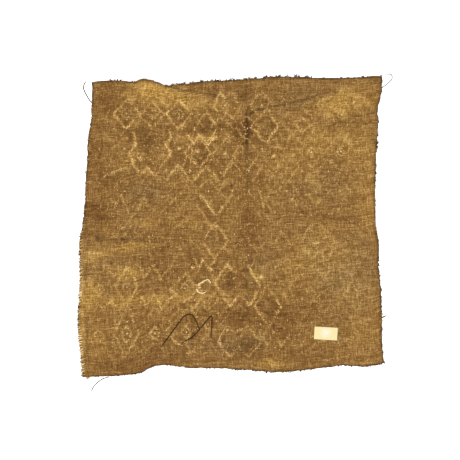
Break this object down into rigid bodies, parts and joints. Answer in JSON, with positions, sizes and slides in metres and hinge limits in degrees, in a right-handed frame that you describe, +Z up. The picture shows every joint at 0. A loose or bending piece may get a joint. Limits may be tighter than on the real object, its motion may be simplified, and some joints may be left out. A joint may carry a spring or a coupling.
{
  "type": "kuba cloth panel",
  "caption": "Square hand-woven raffia cloth panel lying face down, its plain back up, with soft folds, raw edges, loose raffia ends and a bare paper label.",
  "frame": {"origin": "on the flat underside, near the middle of the panel", "axes": "+Z up from the surface it lies on, +Y towards the edge with the tuck and the small tufts, +X towards the label's side"},
  "size_m": [0.5968, 0.6053, 0.0089],
  "materials": {
    "raffia_weave": "matt undyed brown raffia in plain weave, mottled and stained",
    "dark_raffia": "dark brown raffia strip, slightly shiny",
    "pale_raffia": "pale straw-coloured raffia strip, slightly shiny",
    "bleached_raffia": "bleached raffia thread, almost white",
    "grey_raffia": "weathered grey raffia thread",
    "label_paper": "cream paper, rubbed pale in places, with no print"
  },
  "bodies": {
    "root": {"cloth": "raffia_weave", "label": "label_paper", "loose_end_far_left": "dark_raffia", "loose_end_far_right": "bleached_raffia", "loose_end_near_left": "grey_raffia", "dark_end_arched": "dark_raffia", "dark_end_kinked": "dark_raffia", "pale_end_curled": "pale_raffia"}
  },
  "joints": []
}
